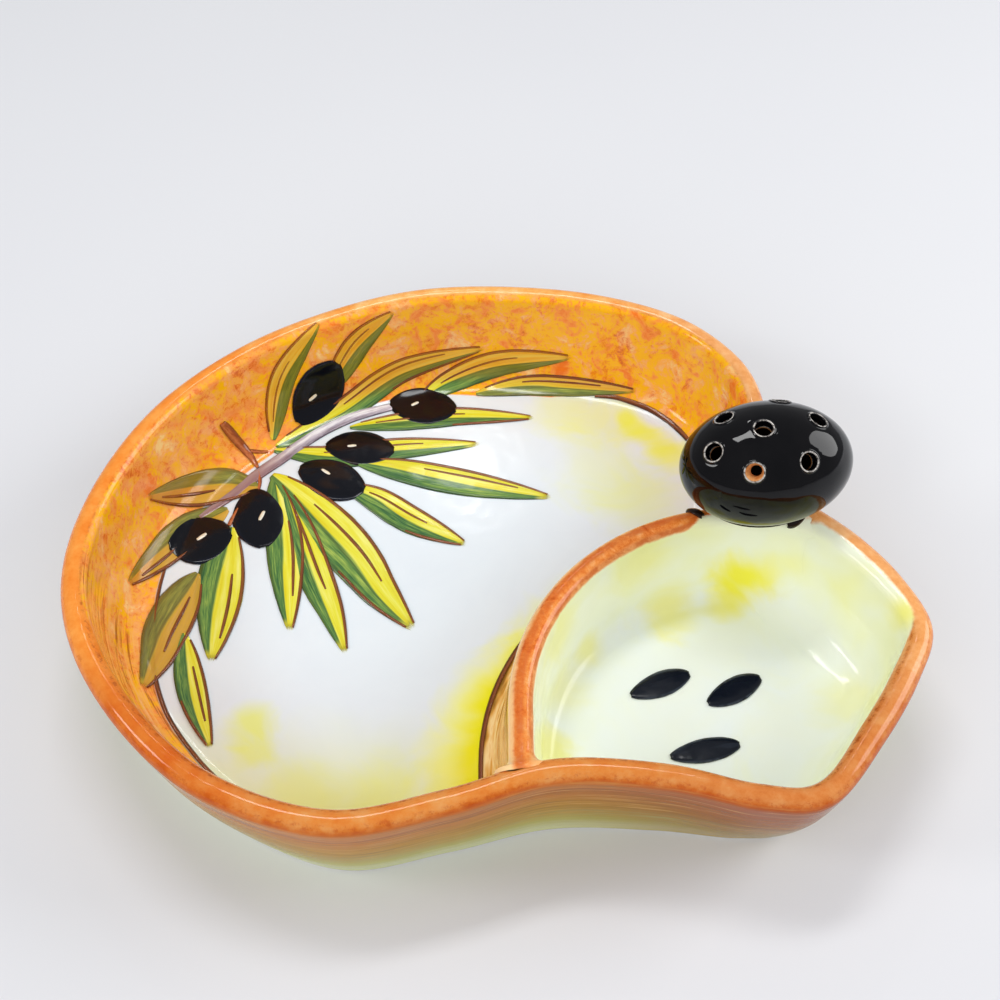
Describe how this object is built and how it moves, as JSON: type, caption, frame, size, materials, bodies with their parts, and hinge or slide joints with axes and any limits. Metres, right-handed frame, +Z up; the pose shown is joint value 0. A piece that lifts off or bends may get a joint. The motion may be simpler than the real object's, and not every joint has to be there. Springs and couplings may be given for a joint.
{
  "type": "olive dish",
  "caption": "Low kidney-shaped glazed dish with a large bowl for olives, a small bowl for stones and a hollow drilled olive on the rim that holds cocktail sticks.",
  "frame": {"origin": "on the table, below the middle of the outline's box", "axes": "+X to the right along the length, from the large bowl to the small one; +Y to the back; +Z up"},
  "size_m": [0.232, 0.192, 0.0691],
  "materials": {
    "dish_glaze": "hand painted, glossy clear glaze",
    "divider_glaze": "hand painted, glossy clear glaze",
    "olive_glaze": "glossy black glaze",
    "joint_glaze": "glossy black glaze run over clay slip"
  },
  "bodies": {
    "root": {"dish_body": "dish_glaze", "divider_wall": "divider_glaze", "pick_holder": "olive_glaze", "holder_joint": "joint_glaze"}
  },
  "joints": []
}
